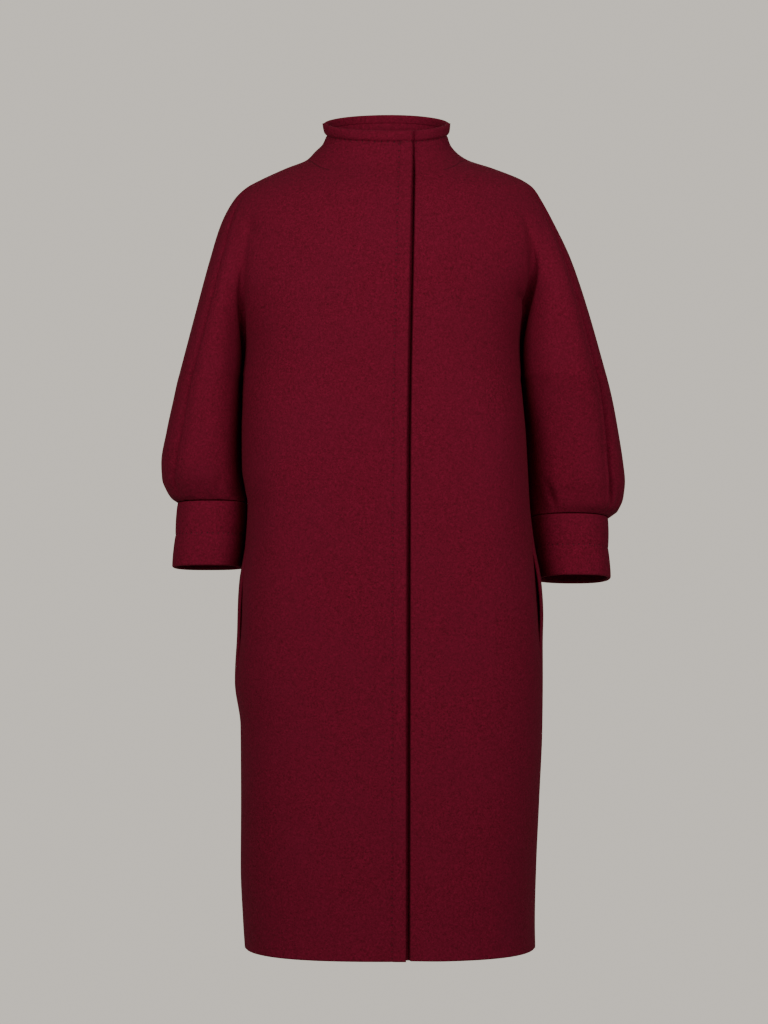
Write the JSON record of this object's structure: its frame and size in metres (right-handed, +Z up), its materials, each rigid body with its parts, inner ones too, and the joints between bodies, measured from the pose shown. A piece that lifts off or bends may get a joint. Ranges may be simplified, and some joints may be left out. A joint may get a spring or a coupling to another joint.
{
  "type": "cocoon coat",
  "caption": "Wine-red felted wool cocoon coat with a funnel collar, balloon sleeves in deep cuffs and a concealed front.",
  "frame": {"origin": "in the neck opening, level with the points where the shoulders meet the neck, on the middle plane of the body", "axes": "+Z up, -Y out of the front, +X to the right as seen from the front"},
  "size_m": [0.5793, 0.2939, 1.0461],
  "materials": {
    "wool": "matte"
  },
  "bodies": {
    "root": {"front_left": "wool", "front_right": "wool", "back": "wool", "cuff_left": "wool", "cuff_right": "wool", "pocket_left": "wool", "pocket_right": "wool"}
  },
  "joints": []
}
